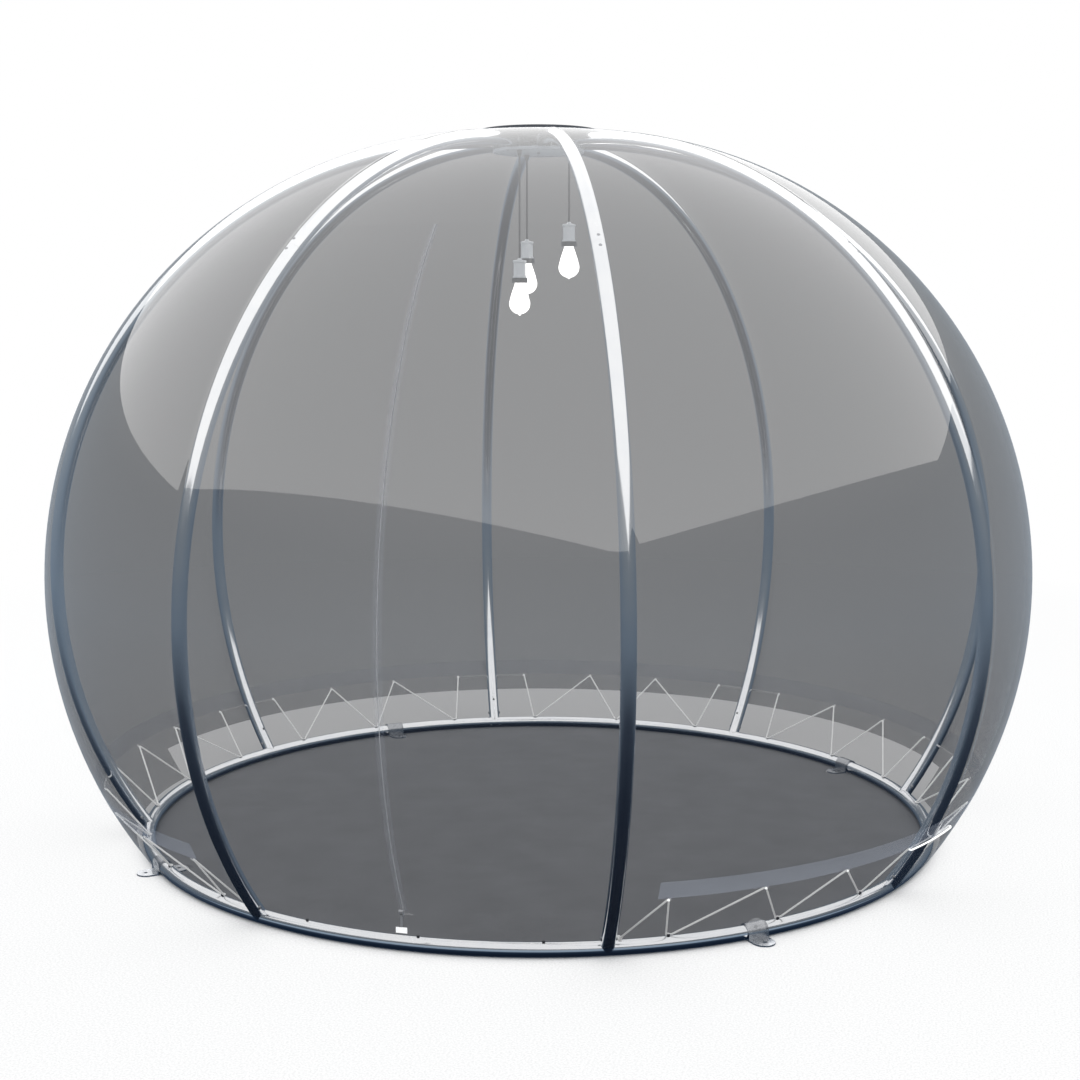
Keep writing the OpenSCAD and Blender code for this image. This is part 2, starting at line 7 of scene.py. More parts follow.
import bpy
import numpy as np
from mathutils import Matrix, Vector


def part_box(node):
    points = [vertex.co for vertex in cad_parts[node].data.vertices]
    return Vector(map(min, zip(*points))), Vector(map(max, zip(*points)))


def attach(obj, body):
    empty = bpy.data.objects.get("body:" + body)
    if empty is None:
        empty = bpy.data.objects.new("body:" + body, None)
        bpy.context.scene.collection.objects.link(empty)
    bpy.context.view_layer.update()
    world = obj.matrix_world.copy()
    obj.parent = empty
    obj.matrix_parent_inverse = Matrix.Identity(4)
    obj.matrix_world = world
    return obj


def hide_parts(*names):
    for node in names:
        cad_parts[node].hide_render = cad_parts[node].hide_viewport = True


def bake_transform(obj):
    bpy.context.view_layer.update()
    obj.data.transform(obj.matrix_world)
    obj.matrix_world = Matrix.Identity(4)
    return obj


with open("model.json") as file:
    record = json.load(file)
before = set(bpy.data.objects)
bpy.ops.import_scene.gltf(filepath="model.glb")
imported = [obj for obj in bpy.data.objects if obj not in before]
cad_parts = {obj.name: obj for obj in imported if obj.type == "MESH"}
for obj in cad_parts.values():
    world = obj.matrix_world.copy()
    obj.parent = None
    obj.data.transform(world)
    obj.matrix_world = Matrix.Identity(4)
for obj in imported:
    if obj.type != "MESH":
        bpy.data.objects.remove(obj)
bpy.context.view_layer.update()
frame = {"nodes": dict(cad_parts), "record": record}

NODES = frame["nodes"]
MM = 0.001

# ---------------------------------------------------------------- sizes, in metres

FILM_T = 1.2 * MM
RIB_OFFSET = 0.155                      # from the dome's axis to the ribs' bending centre
PITCH = 45.0                            # degrees from rib to rib
DOOR_AZ = -90.0
FIRST_RIB = DOOR_AZ + PITCH / 2
ANCHOR_AZ = -48.5                       # of one bracket; the others follow at right angles
TUBE_R = (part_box("ring_segment_1")[1].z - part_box("ring_segment_1")[0].z) / 2
RING_R = max(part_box(f"ring_segment_{k}")[1].x for k in range(1, 5)) - TUBE_R
FILM_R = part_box("cover_panel_5")[1].y - RIB_OFFSET     # to the film's outer face
RIB_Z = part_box("cover_panel_5")[1].z - FILM_R          # height of the bending centre
FILM_MID = FILM_R - FILM_T / 2
RIB_R = FILM_R - FILM_T - 2.7 * MM - TUBE_R
SKIRT_Z = TUBE_R + 12 * MM              # the film's lower edge
VENT_Z = TUBE_R + 110 * MM              # and over the low vent
VENT_FROM, VENT_TO = 19.5, 178.5        # azimuths of the low vent's ends
DOOR_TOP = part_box("door_left")[1].z
LACE_R = 2.5 * MM                       # half the lacing cord's thickness
LACE_Z = TUBE_R + 160 * MM
LACE_HOLE_R = LACE_R + 3 * MM
TOP_PITCH = PITCH / 4                   # degrees from lacing hole to lacing hole
HOLE_STEPS = (-1.5, -0.5, 0.5, 1.5)     # a panel's holes, in TOP_PITCH from its middle
STUD_PITCH = 15.0
LACED_PANELS = [DOOR_AZ + PITCH * k for k in range(1, 8)]
BAND_LOW, BAND_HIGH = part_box("hem_band")[0].z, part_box("hem_band")[1].z
BAND_HALF = 180 - PITCH / 2 - TOP_PITCH / 2 + 1.3     # degrees from its middle to its end
ZIP_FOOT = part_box("zip_tape_left")[0].z
GORES = 8


def rib_az(i):
    return FIRST_RIB - PITCH * (i - 1)


def on_arc(rho, angle, az):
    """A point at a distance rho from a rib's bending centre, at an angle above the level."""
    a, b = math.radians(angle), math.radians(az)
    r = RIB_OFFSET + rho * math.cos(a)
    return Vector((r * math.cos(b), r * math.sin(b), RIB_Z + rho * math.sin(a)))


def angle_at(z, rho=FILM_MID):
    """The angle above the level, seen from the bending centre, of a height on the arc."""
    return math.degrees(math.asin((z - RIB_Z) / rho))


def level_axes(az):
    """The outward and the sideways direction at an azimuth."""
    a = math.radians(az)
    return Vector((math.cos(a), math.sin(a), 0)), Vector((-math.sin(a), math.cos(a), 0))


def add_object(name, data):
    obj = bpy.data.objects.new(name, data)
    bpy.context.scene.collection.objects.link(obj)
    return obj


LACE_ANGLE = angle_at(LACE_Z, FILM_R - FILM_T)
LACE_REACH = RIB_OFFSET + FILM_MID * math.cos(math.radians(LACE_ANGLE))

# ---------------------------------------------------------------- camera

LENS = 56.51
EYE = (1.322, -5.145, 1.583)
AIM_RIGHT = 0.05                        # degrees that the camera aims to the right of the axis
AIM_UP = -7.355                         # degrees above the level


def make_camera():
    """The camera stands to the right of the doorway at eye height and looks slightly down."""
    data = bpy.data.cameras.new("camera")
    data.lens = LENS
    data.sensor_width = 36
    cam = add_object("camera", data)
    cam.location = EYE
    yaw = math.atan2(-cam.location.y, -cam.location.x) - math.radians(AIM_RIGHT)
    pitch = math.radians(AIM_UP)
    level = math.cos(pitch)
    look = Vector((level * math.cos(yaw), level * math.sin(yaw), math.sin(pitch)))
    cam.rotation_mode = "QUATERNION"
    cam.rotation_quaternion = look.to_track_quat("-Z", "Y")
    bpy.context.scene.camera = cam


make_camera()

# ---------------------------------------------------------------- material helpers


def fill_ramp(ramp, stops):
    """Give a colour ramp its stops: (place, colour or grey)."""
    points = ramp.elements
    while len(points) < len(stops):
        points.new(0.5)
    for point, (place, value) in zip(points, stops):
        point.position = place
        point.color = (value, value, value, 1) if isinstance(value, float) else (*value, 1)


class Nodes:
    """A material's node tree with one Principled shader, and short calls for what feeds it."""

    def __init__(self, name, color, rough, metal=0.0, **sockets):
        self.mat = bpy.data.materials.new(name)
        self.mat.use_nodes = True
        self.tree = self.mat.node_tree
        self.bsdf = self.tree.nodes["Principled BSDF"]
        self.set("Base Color", (*color, 1))
        self.set("Roughness", rough)
        self.set("Metallic", metal)
        for socket, value in sockets.items():
            self.set(socket.replace("_", " "), value)

    def set(self, socket, value):
        self.bsdf.inputs[socket].default_value = value

    def new(self, kind, **values):
        node = self.tree.nodes.new(kind)
        for key, value in values.items():
            if hasattr(node, key):
                setattr(node, key, value)
            else:
                node.inputs[key.replace("_", " ")].default_value = value
        return node

    def link(self, out, into):
        self.tree.links.new(out, into)

    def coords(self, kind="Object"):
        return self.new("ShaderNodeTexCoord").outputs[kind]

    def stretched(self, source, scale):
        node = self.new("ShaderNodeMapping")
        node.inputs["Scale"].default_value = scale
        self.link(source, node.inputs["Vector"])
        return node.outputs["Vector"]

    def noise(self, source, scale, detail=3.0, rough=0.5):
        node = self.new("ShaderNodeTexNoise", Scale=scale, Detail=detail, Roughness=rough)
        self.link(source, node.inputs["Vector"])
        return node.outputs["Fac"]

    def math(self, operation, a, b=0.0):
        node = self.new("ShaderNodeMath", operation=operation)
        for socket, value in zip(node.inputs, (a, b)):
            if isinstance(value, (int, float)):
                socket.default_value = value
            else:
                self.link(value, socket)
        return node.outputs[0]

    def ramp(self, fac, stops):
        node = self.new("ShaderNodeValToRGB")
        fill_ramp(node.color_ramp, stops)
        self.link(fac, node.inputs["Fac"])
        return node.outputs["Color"]

    def bump(self, height, strength, distance):
        node = self.new("ShaderNodeBump", Strength=strength, Distance=distance)
        self.link(height, node.inputs["Height"])
        self.link(node.outputs["Normal"], self.bsdf.inputs["Normal"])

    def feed(self, out, socket):
        self.link(out, self.bsdf.inputs[socket])


def dimmed(color, share):
    return tuple(share * c for c in color)


def polished_tube():
    m = Nodes("polished_tube", (0.82, 0.84, 0.87), 0.12, metal=1.0)
    where = m.coords()
    smear = m.noise(where, 14, detail=4)
    m.feed(m.ramp(smear, [(0.3, (0.86, 0.875, 0.9)), (0.7, (0.92, 0.925, 0.935))]), "Base Color")
    fine = m.noise(where, 420, detail=2)
    both = m.math("ADD", m.math("MULTIPLY", smear, 0.7), m.math("MULTIPLY", fine, 0.3))
    m.feed(m.ramp(both, [(0.3, 0.09), (0.75, 0.15)]), "Roughness")
    m.bump(m.noise(where, 900, detail=2), 0.06, 0.0002)
    return m.mat


def pressed_steel(name, color, rough):
    """Steel sheet with a rolled grain and worn, cloudy patches."""
    m = Nodes(name, color, rough, metal=1.0)
    where = m.coords()
    grain = m.noise(m.stretched(where, (1, 1, 12)), 160, detail=4)
    cloud = m.noise(where, 22, detail=4)
    m.feed(m.ramp(cloud, [(0.35, dimmed(color, 0.78)), (0.65, color)]), "Base Color")
    m.feed(m.ramp(grain, [(0.3, rough - 0.07), (0.7, rough + 0.1)]), "Roughness")
    m.bump(grain, 0.25, 0.0003)
    return m.mat


def plate_paint():
    m = Nodes("plate_paint", (0.3, 0.34, 0.39), 0.42)
    where = m.coords()
    cloud = m.noise(where, 9, detail=3)
    m.feed(m.ramp(cloud, [(0.3, (0.25, 0.29, 0.34)), (0.7, (0.34, 0.38, 0.43))]), "Base Color")
    m.bump(m.noise(where, 520, detail=2), 0.35, 0.0004)
    m.set("Coat Weight", 0.2)
    return m.mat


def moulded(name, color, rough, grain=0.25):
    """Moulded plastic with a fine spark-eroded grain."""
    m = Nodes(name, color, rough)
    where = m.coords()
    cloud = m.noise(where, 30, detail=3)
    m.feed(m.ramp(cloud, [(0.35, dimmed(color, 0.86)), (0.65, color)]), "Base Color")
    speck = m.noise(where, 1400, detail=2)
    m.feed(m.ramp(speck, [(0.3, max(rough - 0.06, 0.02)), (0.7, rough + 0.08)]), "Roughness")
    m.bump(speck, grain, 0.0002)
    return m.mat


def clear_film():
    """Smoked clear film: each layer lets about two fifths of the light through and mirrors the sky."""
    m = Nodes("clear_film", (0.012, 0.014, 0.018), 0.03, Alpha=0.63, IOR=1.95)
    where = m.coords()
    haze = m.ramp(m.noise(where, 5, detail=4), [(0.35, 0.012), (0.7, 0.035)])
    # the inner face is matt, against condensation
    inside = m.new("ShaderNodeNewGeometry").outputs["Backfacing"]
    m.feed(m.math("ADD", haze, m.math("MULTIPLY", inside, 0.55)), "Roughness")
    return m.mat


def welded_film(name, alpha):
    """Paler film in a second layer, as on the hem and beside the zip."""
    m = Nodes(name, (0.45, 0.5, 0.6), 0.14, Alpha=alpha, IOR=1.6)
    where = m.coords()
    haze = m.noise(where, 40, detail=3)
    m.feed(m.ramp(haze, [(0.3, 0.1), (0.7, 0.22)]), "Roughness")
    return m.mat


def woven(name, color, scale, rough=0.9, depth=0.5):
    """Coated woven cloth: warp and weft threads, with faint blotches."""
    m = Nodes(name, color, rough)
    where = m.coords()
    rows = []
    for direction in ("X", "Y"):
        wave = m.new("ShaderNodeTexWave", bands_direction=direction, Scale=scale, Distortion=0.4)
        m.link(where, wave.inputs["Vector"])
        rows.append(wave.outputs["Fac"])
    weave = m.math("MULTIPLY", rows[0], rows[1])
    cloud = m.noise(where, 6, detail=6, rough=0.65)
    speck = m.noise(where, 260, detail=3)
    shade = m.math("ADD", m.math("MULTIPLY", cloud, 0.55), m.math("MULTIPLY", speck, 0.45))
    m.feed(m.ramp(shade, [(0.35, dimmed(color, 0.8)), (0.65, dimmed(color, 1.15))]), "Base Color")
    m.bump(weave, depth, 0.0006)
    m.set("Sheen Weight", 0.15)
    return m.mat


def braided(name, color, turns, strands=8.0, painted_glow=0.0):
    """Braided cord: two sets of strands that cross. The mesh's UV runs round and along it.
    The painted glow, a faint emission on a cord that is no lamp, keeps a white cord white where film covers
    it."""
    m = Nodes(name, color, 0.75)
    uv = m.new("ShaderNodeSeparateXYZ")
    m.link(m.coords("UV"), uv.inputs[0])
    around = m.math("MULTIPLY", uv.outputs["X"], strands * 2 * math.pi)
    along = m.math("MULTIPLY", uv.outputs["Y"], turns * 2 * math.pi)
    left = m.math("SINE", m.math("ADD", around, along))
    right = m.math("SINE", m.math("SUBTRACT", around, along))
    braid = m.math("MAXIMUM", left, right)
    # painted shade: the braid is about a fifth darker in the grooves between its strands
    shade = m.math("MULTIPLY", m.math("ADD", braid, 1.0), 0.5)
    m.feed(m.ramp(shade, [(0.35, dimmed(color, 0.8)), (0.8, color)]), "Base Color")
    m.bump(braid, 0.6, 0.0006)
    m.set("Sheen Weight", 0.2)
    # painted glow: the cord gives off a little light of its own, though it is no lamp
    m.set("Emission Color", (1, 1, 1, 1))
    m.set("Emission Strength", painted_glow)
    return m.mat


def bulb_glass():
    m = Nodes("bulb_glass", (1, 0.99, 0.96), 0.25)
    where = m.coords()
    cloud = m.noise(where, 45, detail=2)
    m.feed(m.ramp(cloud, [(0.3, (0.96, 0.95, 0.92)), (0.7, (1.0, 1.0, 1.0))]), "Base Color")
    m.set("Emission Color", (1.0, 0.985, 0.96, 1))
    m.set("Emission Strength", 3.5)
    return m.mat


def two_tone(m, low, high, share):
    """One colour for the lowest share of the piece's height and another above it."""
    height = m.new("ShaderNodeSeparateXYZ")
    m.link(m.coords("Generated"), height.inputs[0])
    tone = m.new("ShaderNodeValToRGB")
    tone.color_ramp.interpolation = "CONSTANT"
    fill_ramp(tone.color_ramp, [(0.0, low), (share, high)])
    m.link(height.outputs["Z"], tone.inputs["Fac"])
    m.feed(tone.outputs["Color"], "Base Color")


def holder_plastic():
    """Light grey glazed body; the lowest fifth of each holder is a dark collar."""
    body = (0.7, 0.73, 0.76)
    m = Nodes("holder_plastic", body, 0.28)
    two_tone(m, (0.06, 0.062, 0.065), body, 0.2)
    m.bump(m.noise(m.coords(), 300, detail=2), 0.1, 0.0003)
    m.set("Coat Weight", 0.4)
    return m.mat


def pull_plastic():
    """The pull's tab is white and its strap is smoked like the film."""
    m = Nodes("pull_plastic", (0.9, 0.9, 0.9), 0.3)
    two_tone(m, (0.92, 0.92, 0.92), (0.16, 0.165, 0.175), 0.32)
    m.bump(m.noise(m.coords(), 1400, detail=2), 0.2, 0.0002)
    return m.mat


MATERIALS = {
    "polished_tube": polished_tube(),
    "bracket_steel": pressed_steel("bracket_steel", (0.5, 0.51, 0.53), 0.24),
    "sleeve_steel": pressed_steel("sleeve_steel", (0.32, 0.33, 0.34), 0.45),
    "screw_steel": pressed_steel("screw_steel", (0.42, 0.43, 0.45), 0.22),
    "plate_paint": plate_paint(),
    "cap_plastic": moulded("cap_plastic", (0.035, 0.04, 0.05), 0.35),
    "clear_film": clear_film(),
    "hem_film": welded_film("hem_film", 0.22),
    "zip_film": welded_film("zip_film", 0.05),
    "zip_tape": woven("zip_tape", (0.3, 0.31, 0.33), 900, depth=0.4),
    "slider_metal": moulded("slider_metal", (0.16, 0.165, 0.175), 0.3),
    "pull_plastic": pull_plastic(),
    "stud_black": moulded("stud_black", (0.02, 0.02, 0.024), 0.35),
    # the lacing cord gets a painted glow so that it stays white under the film
    "lacing_cord": braided("lacing_cord", (0.95, 0.95, 0.94), turns=70, painted_glow=0.3),
    "groundsheet": woven("groundsheet", (0.135, 0.138, 0.147), 620),
    "grip_plastic": moulded("grip_plastic", (0.04, 0.04, 0.043), 0.45),
    "lamp_cord": braided("lamp_cord", (0.07, 0.072, 0.075), turns=110),
    "holder_plastic": holder_plastic(),
    "bulb_glass": bulb_glass(),
}

# ---------------------------------------------------------------- mesh helpers


def mesh_object(name, points, faces, slot, look=None):
    """A new mesh piece that wears a record slot's own material unless a look is named."""
    mesh = bpy.data.meshes.new(name)
    mesh.from_pydata([tuple(p) for p in points], [], faces)
    mesh.validate()
    mesh.materials.append(MATERIALS[look or slot])
    mesh.shade_smooth()
    obj = add_object(name, mesh)
    return obj


def grid_face(i, j, wide):
    """The face between rows i and i + 1 and columns j and j + 1 of a grid of points."""
    return (i * wide + j, i * wide + j + 1, (i + 1) * wide + j + 1, (i + 1) * wide + j)


def ring_face(i, j, wide):
    """The same for a grid whose last column is followed by its first."""
    on = (j + 1) % wide
    return (i * wide + j, i * wide + on, (i + 1) * wide + on, (i + 1) * wide + j)


def grid_faces(rows, wide):
    return [grid_face(i, j, wide) for i in range(rows - 1) for j in range(wide - 1)]


def without_spares(points, faces):
    """The same mesh without the points that no face uses."""
    used = sorted({v for f in faces for v in f})
    place = {v: k for k, v in enumerate(used)}
    return [points[v] for v in used], [tuple(place[v] for v in f) for f in faces]


# ---------------------------------------------------------------- round cords

UNLIKE_ANY_ROUTE = (0.3, 0.5, 0.81)     # no cord starts in this direction
CORNER_SHARE = 0.45                     # the most of a leg that the turn at its end may take


def swept(name, route, radius, sides, slot):
    """A round cord along a route, with a UV that runs once round it and in metres along it."""
    pts = np.array([tuple(p) for p in route], float)
    steps = np.diff(pts, axis=0)
    along = np.vstack([steps[:1], steps[1:] + steps[:-1], steps[-1:]])
    along /= np.linalg.norm(along, axis=1)[:, None]
    side = np.cross(along[0], UNLIKE_ANY_ROUTE)
    rings = []
    for p, t in zip(pts, along):
        side = side - (side @ t) * t
        side /= np.linalg.norm(side)
        other = np.cross(t, side)
        for k in range(sides):
            a = 2 * math.pi * k / sides
            rings.append(p + radius * (math.cos(a) * side + math.sin(a) * other))
    length = np.concatenate([[0], np.cumsum(np.linalg.norm(steps, axis=1))])
    faces, uvs = [], []
    for i in range(len(pts) - 1):
        for k in range(sides):
            faces.append(ring_face(i, k, sides))
            u, v = k / sides, (k + 1) / sides
            uvs += [(u, length[i]), (v, length[i]), (v, length[i + 1]), (u, length[i + 1])]
    last = (len(pts) - 1) * sides
    faces += [tuple(range(sides - 1, -1, -1)), tuple(last + k for k in range(sides))]
    uvs += [(0, 0)] * sides + [(0, length[-1])] * sides
    obj = mesh_object(name, rings, faces, slot)
    layer = obj.data.uv_layers.new(name="route")
    layer.data.foreach_set("uv", [x for uv in uvs for x in uv])
    return obj


def rounded(points, radius, steps=6):
    """The same route with each corner turned on a curve that starts radius before it."""
    out = [points[0]]
    for before, here, after in zip(points, points[1:], points[2:]):
        back, on = before - here, after - here
        start = here + back.normalized() * min(radius, back.length * CORNER_SHARE)
        end = here + on.normalized() * min(radius, on.length * CORNER_SHARE)
        for k in range(steps + 1):
            t = k / steps
            out.append(start * (1 - t) ** 2 + here * (2 * t * (1 - t)) + end * t ** 2)
    return out + [points[-1]]


# ---------------------------------------------------------------- the lamps' cords

EXIT_Z = 2.078                          # height at which a cord leaves its grip
LAMP_XY = [(0.094, 0.012), (-0.057, 0.076), (-0.037, -0.087)]
CORD_DROP = [0.192, 0.240, 0.304]
CORD_D = 6 * MM
CORD_STEPS = 16
CORD_SIDES = 16


def make_lamp(n):
    """The cord of lamp n, from its grip down to its lampholder."""
    x, y = LAMP_XY[n - 1]
    drop = CORD_DROP[n - 1]
    route = [Vector((x, y, EXIT_Z - drop * k / CORD_STEPS)) for k in range(CORD_STEPS + 1)]
    flex = swept(f"lamp_flex_{n}", route, CORD_D / 2, CORD_SIDES, "lamp_cord")
    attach(flex, f"lamp_{n}")
    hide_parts(f"pendant_cord_{n}")


for lamp in (1, 2, 3):
    make_lamp(lamp)

# ---------------------------------------------------------------- the film cover

COLUMN = TOP_PITCH / 12                 # degrees of azimuth between the film's columns
HOLE_ROWS = 2                           # a lacing hole sits in a square of 2 x HOLE_ROWS cells
ROW = 1.7                               # degrees from row to row above the lacing holes
SEAM_LIFT = 0.7 * MM                    # how far a welded seam stands proud over a rib
SEAM_HALF = 0.32                        # degrees, half of a seam's width
SEAM_STEP = (SEAM_HALF - 0.04, SEAM_HALF + 0.06)    # the columns on both sides of its edge
HOLE_PULL = 0.9 * MM                    # how far the cord draws the film in at the holes
HOLE_SPREAD = 2.2                       # degrees up and down that this reaches
WELD_LINE = 3 * MM                      # the raised line along each edge of the hem band
CROWN_RADII = (RIB_OFFSET, 0.12, 0.08, 0.04, 0.008)
CROWN_SIDES = 72
LEAF_GAP = 0.05 * MM                    # from the middle of the zip to a leaf's edge
LEAF_TOP_ROW = 0.4                      # degrees below a leaf's top where its last row may be


def film_rows():
    """Meridian angles for the film's rows, with the vent's edge and rows round the lacing holes."""
    cell = math.degrees(math.radians(COLUMN) * LACE_REACH / FILM_MID)
    skirt, vent = angle_at(SKIRT_Z), angle_at(VENT_Z)
    rows = [skirt, (skirt + vent) / 2, vent]
    rows += [LACE_ANGLE + k * cell for k in range(-HOLE_ROWS, HOLE_ROWS + 1)]
    top = rows[-1]
    count = round((90 - top) / ROW)
    return rows + [top + (90 - top) * k / count for k in range(1, count + 1)]


def film_columns(start, end, extra=()):
    count = round((end - start) / COLUMN)
    columns = {round(start + (end - start) * k / count, 5) for k in range(count + 1)}
    return sorted(columns | {round(a, 5) for a in extra if start < a < end})


def film_lift(angle, az):
    """Small offsets of the film from its arc: welded seams over the ribs and faint pulls at the holes."""
    off_rib = abs((az - FIRST_RIB + PITCH / 2) % PITCH - PITCH / 2)
    seam = SEAM_LIFT if off_rib < SEAM_HALF else 0.0
    hem = math.exp(-((angle - angle_at(LACE_Z)) / HOLE_SPREAD) ** 2)
    pull = 0.5 * (1 - math.cos(math.radians((az - DOOR_AZ - TOP_PITCH / 2) * 360 / TOP_PITCH)))
    return seam - HOLE_PULL * hem * pull * (off_rib > SEAM_HALF)


def cut_hole(cells, points, middle, j0, wide, az):
    """Take a square of cells out of the film and fill it again up to a round lacing hole."""
    n = HOLE_ROWS
    cells -= {(middle + i, j0 + j) for i in range(-n, n) for j in range(-n, n)}
    edge = [(-n, j) for j in range(-n, n)] + [(i, n) for i in range(-n, n)]
    edge += [(n, -j) for j in range(-n, n)] + [(-i, -n) for i in range(-n, n)]
    rim = len(points)
    for i, j in edge:
        turn = math.atan2(i, j)
        up = math.degrees(LACE_HOLE_R * math.sin(turn) / FILM_MID)
        across = math.degrees(LACE_HOLE_R * math.cos(turn) / LACE_REACH)
        points.append(on_arc(FILM_MID, LACE_ANGLE + up, az + across))
    faces = []
    for k, (i, j) in enumerate(edge):
        on = (k + 1) % len(edge)
        i2, j2 = edge[on]
        here, there = (middle + i) * wide + j0 + j, (middle + i2) * wide + j0 + j2
        faces.append((here, there, rim + on, rim + k))
    return faces


def film_mesh(rows, columns, keep, holes=()):
    """A stretch of film on the dome's arc. keep(angle, az) says which cells stay; holes are azimuths."""
    points = [on_arc(FILM_MID + film_lift(a, az), a, az) for a in rows for az in columns]
    wide = len(columns)
    cells = {(i, j) for i in range(len(rows) - 1) for j in range(wide - 1)
             if keep((rows[i] + rows[i + 1]) / 2, (columns[j] + columns[j + 1]) / 2)}
    middle = min(range(len(rows)), key=lambda i: abs(rows[i] - LACE_ANGLE))
    faces = []
    for az in holes:
        j0 = min(range(wide), key=lambda j: abs(columns[j] - az))
        faces += cut_hole(cells, points, middle, j0, wide, az)
    faces += [grid_face(i, j, wide) for i, j in sorted(cells)]
    return without_spares(points, faces)


def see_through(obj):
    """Film lets the light in and stays out of the tubes' own reflections."""
    obj.visible_shadow = False
    obj.visible_glossy = False
    obj.visible_diffuse = False


def add_crown(points, faces):
    """The flat of the crown, from the arc's end in to the bolt hole."""
    rim = len(points)
    for k, r in enumerate(CROWN_RADII):
        for j in range(CROWN_SIDES):
            a = math.radians(360 / CROWN_SIDES * j)
            points.append(Vector((r * math.cos(a), r * math.sin(a), RIB_Z + FILM_MID)))
            if k:
                faces.append(tuple(rim + v for v in ring_face(k - 1, j, CROWN_SIDES)))


def make_cover():
    """Seven whole gores and the short one over the doorway, welded into one sheet."""
    ribs = [FIRST_RIB + PITCH * k for k in range(GORES + 1)]
    seams = [r + s * w for r in ribs for s in (-1, 1) for w in SEAM_STEP]
    columns = film_columns(FIRST_RIB, FIRST_RIB + 360, extra=[*seams, VENT_FROM, VENT_TO])
    door = angle_at(DOOR_TOP)
    rows = sorted({*film_rows(), door})
    doorway = FIRST_RIB + 360 - PITCH

    def keep(angle, az):
        if az > doorway and angle < door:
            return False
        return not (VENT_FROM < az < VENT_TO and angle < angle_at(VENT_Z))

    holes = [c + n * TOP_PITCH for c in LACED_PANELS for n in HOLE_STEPS]
    points, faces = film_mesh(rows, columns, keep, holes)
    add_crown(points, faces)
    cover = mesh_object("cover_film", points, faces, "clear_film")
    each = range(1, GORES + 1)
    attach(cover, "root")
    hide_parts(*[f"cover_panel_{k}" for k in each])
    see_through(cover)


def make_door(side, name):
    """A leaf of film beside the zip, reaching from its rib to the zip."""
    gap = math.degrees(LEAF_GAP / FILM_MID)
    start, end = (FIRST_RIB - PITCH, DOOR_AZ - gap) if side < 0 else (DOOR_AZ + gap, FIRST_RIB)
    top = angle_at(DOOR_TOP)
    rows = [a for a in film_rows() if a < top - LEAF_TOP_ROW] + [top]
    points, faces = film_mesh(rows, film_columns(start, end), lambda angle, az: True)
    leaf = mesh_object(f"{name}_film", points, faces, "clear_film")
    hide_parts(name)
    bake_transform(leaf)
    see_through(leaf)


def make_hem_band():
    """The doubled strip above the lacing holes, with a raised weld line along each edge."""
    low, high = angle_at(BAND_LOW, FILM_R), angle_at(BAND_HIGH, FILM_R)
    weld = math.degrees(WELD_LINE / FILM_R)
    # angle, and millimetres above the film's outer face
    profile = [(low, 0.3), (low + weld * 0.4, 1.2), (low + weld, 0.5), ((low + high) / 2, 0.4),
               (high - weld, 0.5), (high - weld * 0.4, 1.2), (high, 0.3)]
    columns = film_columns(90 - BAND_HALF, 90 + BAND_HALF)
    points = [on_arc(FILM_R + lift * MM, a, az) for a, lift in profile for az in columns]
    band = mesh_object("hem_weld_band", points, grid_faces(len(profile), len(columns)), "hem_film")
    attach(band, "root")
    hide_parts("hem_band")
    see_through(band)


make_cover()
make_door(-1, "door_left")
make_door(1, "door_right")
make_hem_band()

# ---------------------------------------------------------------- the zip

ZIP_W = 10 * MM
ZIP_GAP = 0.4 * MM                      # from the middle of the zip to a tape's edge
TAPE_ROWS = 91
TAPE_LIFT = (0.5, 0.9, 0.9, 0.3)        # millimetres above the film, from the zip outward
COIL_PITCH = 2.6 * MM
COIL_R = 0.47 * MM
COIL_LIFT = 1.3 * MM                    # from the film's outer face to the coil's middle
COIL_STEPS = 4                          # rings of points in each turn of the coil
COIL_SIDES = 6
ZIP_LOW, ZIP_HIGH = angle_at(ZIP_FOOT, FILM_R), angle_at(DOOR_TOP - 2 * MM, FILM_R)


def zip_tape_mesh(side):
    seam, wide = math.degrees(ZIP_GAP / FILM_R), math.degrees(ZIP_W / FILM_R)
    near, far = DOOR_AZ + side * seam, DOOR_AZ + side * (seam + wide)
    bevel = (far - near) * 0.1
    across = list(zip((near, near + bevel, far - bevel, far), TAPE_LIFT))
    points = [on_arc(FILM_R + lift * MM, ZIP_LOW + (ZIP_HIGH - ZIP_LOW) * k / (TAPE_ROWS - 1), az)
              for k in range(TAPE_ROWS) for az, lift in across]
    return points, grid_faces(TAPE_ROWS, len(across))


def zip_coil_mesh(side):
    """One side's half of the coil: a rod that swells at each turn, between the other side's turns."""
    turns = int(math.radians(ZIP_HIGH - ZIP_LOW) * FILM_R / COIL_PITCH)
    count = turns * COIL_STEPS
    coil_az = DOOR_AZ + side * math.degrees(COIL_R / FILM_R)
    phase = 0 if side < 0 else math.pi
    points = []
    for k in range(count + 1):
        angle = ZIP_LOW + (ZIP_HIGH - ZIP_LOW) * k / count
        r = COIL_R * (0.74 + 0.26 * math.cos(2 * math.pi * k / COIL_STEPS + phase))
        for j in range(COIL_SIDES):
            a = 2 * math.pi * j / COIL_SIDES
            points.append(on_arc(FILM_R + COIL_LIFT + r * math.sin(a), angle,
                                 coil_az + math.degrees(r * math.cos(a) / FILM_R)))
    return points, [ring_face(k, j, COIL_SIDES) for k in range(count) for j in range(COIL_SIDES)]


def make_zip(side, name):
    """One tape with its half of the coil."""
    tape = mesh_object(f"zip_tape_film_{name}", *zip_tape_mesh(side), "zip_tape", look="zip_film")
    coil = mesh_object(f"zip_coil_{name}", *zip_coil_mesh(side), "zip_tape")
    for piece in (tape, coil):
        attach(piece, f"door_{name}_leaf")
        piece.visible_shadow = False
    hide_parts(f"zip_tape_{name}")


make_zip(-1, "left")
make_zip(1, "right")

# ---------------------------------------------------------------- the lacing

